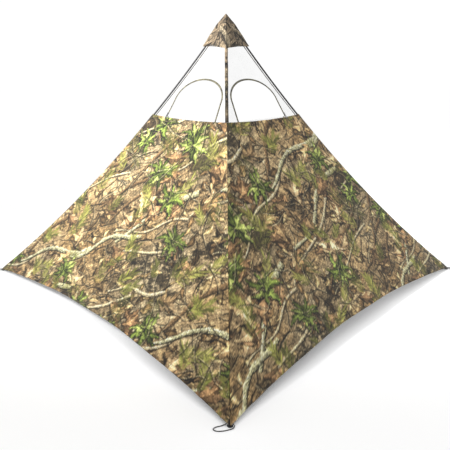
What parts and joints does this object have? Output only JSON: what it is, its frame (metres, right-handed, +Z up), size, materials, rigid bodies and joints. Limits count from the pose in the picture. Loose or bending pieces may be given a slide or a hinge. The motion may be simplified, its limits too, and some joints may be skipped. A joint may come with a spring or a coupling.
{
  "type": "pop up ground blind",
  "caption": "Pop-up hunting blind: folding three-pole frame on a hub, two camouflage walls, netting with zipped windows and a peak cap, open at the back.",
  "frame": {"origin": "on the ground, under the middle of the object's width and depth", "axes": "+Z up; -Y towards the front leg, where the two walls meet; +X to the right seen from the front"},
  "size_m": [3.053, 1.9688, 1.6001],
  "materials": {
    "camo_cloth": "printed polyester, matt, black coated inside",
    "netting": "fine see-through polyester netting",
    "binding": "woven binding tape with zipper coil",
    "fibreglass": "pultruded black fibreglass rod",
    "moulded_black": "moulded black nylon",
    "steel": "zinc-plated steel",
    "elastic": "braided elastic cord",
    "loop_cord": "braided black cord"
  },
  "bodies": {
    "hub": {"hub_body": "moulded_black", "hub_plate": "moulded_black", "hub_screw": "steel", "hub_pins": "steel", "peak_cap": "camo_cloth", "left_wall": "camo_cloth", "right_wall": "camo_cloth", "left_netting": "netting", "right_netting": "netting", "left_zipper": "binding", "right_zipper": "binding", "left_edge_tape": "camo_cloth", "right_edge_tape": "camo_cloth"},
    "front_leg": {"front_knuckle": "moulded_black", "front_pole_upper": "fibreglass", "front_pole_middle": "fibreglass", "front_pole_lower": "fibreglass", "front_ferrules": "steel", "front_shock_cord": "elastic", "front_pole_tip": "moulded_black", "front_sleeves": "camo_cloth", "front_seam_sleeve": "camo_cloth", "front_corner_pocket": "camo_cloth", "front_stake_loop": "loop_cord"},
    "left_leg": {"left_knuckle": "moulded_black", "left_pole_upper": "fibreglass", "left_pole_middle": "fibreglass", "left_pole_lower": "fibreglass", "left_ferrules": "steel", "left_shock_cord": "elastic", "left_pole_tip": "moulded_black", "left_sleeves": "camo_cloth", "left_corner_pocket": "camo_cloth", "left_stake_loop": "loop_cord"},
    "right_leg": {"right_knuckle": "moulded_black", "right_pole_upper": "fibreglass", "right_pole_middle": "fibreglass", "right_pole_lower": "fibreglass", "right_ferrules": "steel", "right_shock_cord": "elastic", "right_pole_tip": "moulded_black", "right_sleeves": "camo_cloth", "right_corner_pocket": "camo_cloth", "right_stake_loop": "loop_cord"},
    "left_window_door": {"left_flap": "netting", "left_flap_tape": "binding"},
    "right_window_door": {"right_flap": "netting", "right_flap_tape": "binding"},
    "left_zip_slider": {"left_slider": "steel", "left_pull": "steel"},
    "right_zip_slider": {"right_slider": "steel", "right_pull": "steel"}
  },
  "joints": [
    {"name": "front_leg_fold", "type": "hinge", "parent": "hub", "child": "front_leg", "pos_m": [0, 0.54717, 1.542], "axis": [1, 0, 0], "range_deg": [0, 40]},
    {"name": "left_leg_fold", "type": "hinge", "parent": "hub", "child": "left_leg", "pos_m": [-0.02906, 0.58463, 1.542], "axis": [-0.2487, -0.9686, 0], "range_deg": [0, 40]},
    {"name": "right_leg_fold", "type": "hinge", "parent": "hub", "child": "right_leg", "pos_m": [0.02906, 0.58463, 1.542], "axis": [-0.2487, 0.9686, 0], "range_deg": [0, 40]},
    {"name": "left_door_swing", "type": "hinge", "parent": "hub", "child": "left_window_door", "pos_m": [-0.19438, 0.38463, 1.047], "axis": [0.6129, -0.7902, 0], "range_deg": [0, 152]},
    {"name": "left_zip_slide", "type": "slide", "parent": "hub", "child": "left_zip_slider", "axis": [0.4623, 0.1578, 0.8726], "range_m": [0, 0.07]},
    {"name": "right_door_swing", "type": "hinge", "parent": "hub", "child": "right_window_door", "pos_m": [0.19438, 0.38463, 1.047], "axis": [0.6129, 0.7902, 0], "range_deg": [0, 152]},
    {"name": "right_zip_slide", "type": "slide", "parent": "hub", "child": "right_zip_slider", "axis": [-0.4623, 0.1578, 0.8726], "range_m": [0, 0.07]}
  ],
  "couplings": [
    {"joint": "left_leg_fold", "follows": "front_leg_fold", "ratio": 1},
    {"joint": "right_leg_fold", "follows": "front_leg_fold", "ratio": 1}
  ]
}
